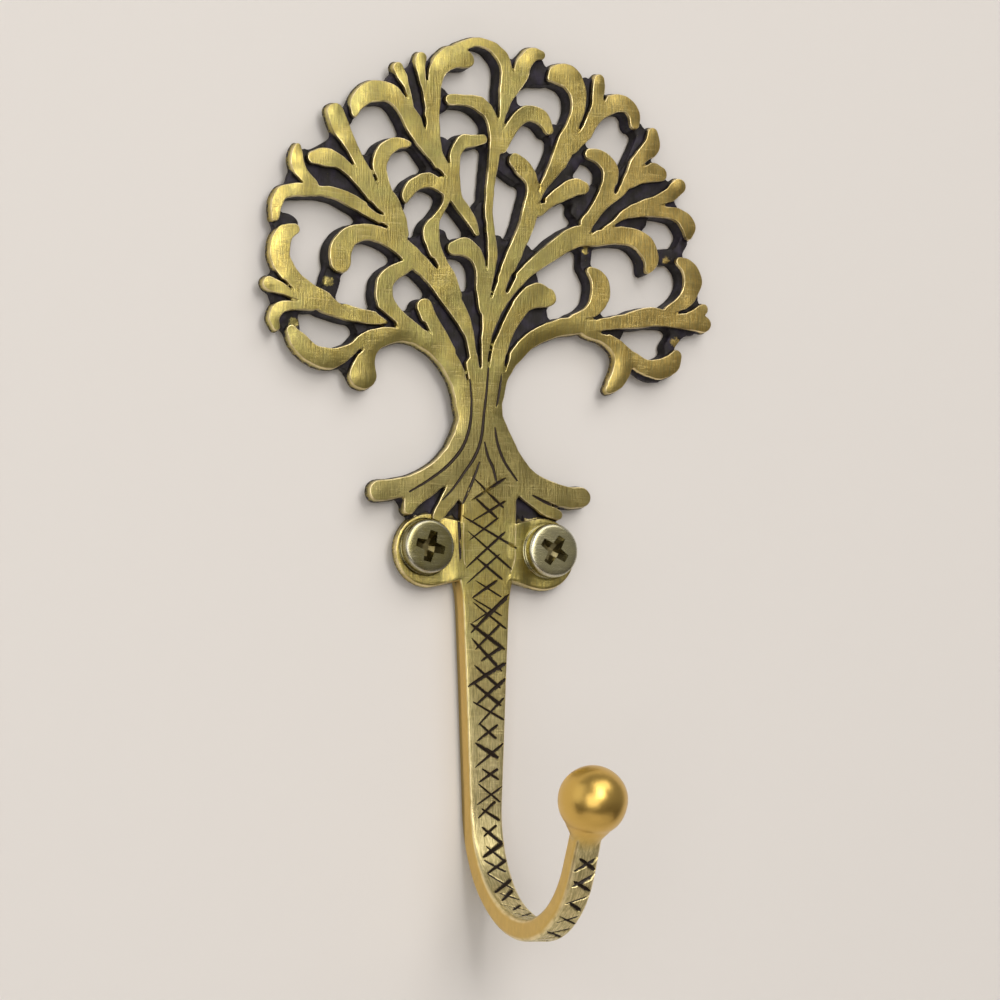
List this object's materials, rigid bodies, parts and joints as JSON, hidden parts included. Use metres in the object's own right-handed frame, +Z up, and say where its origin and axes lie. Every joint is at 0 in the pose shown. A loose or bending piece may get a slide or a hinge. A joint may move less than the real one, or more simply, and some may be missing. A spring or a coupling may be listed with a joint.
{
  "type": "wall hook",
  "caption": "Cast brass wall hook shaped as a pierced tree on a tapering shaft that bends up into a ball-ended hook, held to the wall by screws through side lugs.",
  "frame": {"origin": "midway between the two screws, on the wall plane that the casting's back lies against", "axes": "+Z up along the shaft, +Y into the wall, +X to the right of someone facing the wall"},
  "size_m": [0.0733, 0.0652, 0.1329],
  "materials": {
    "antique_brass": "hand-filed bright faces over black patina in the recesses",
    "screw_steel": "plated, slightly yellowed"
  },
  "bodies": {
    "root": {"hook_casting": "antique_brass", "fixing_screws": "screw_steel"}
  },
  "joints": []
}
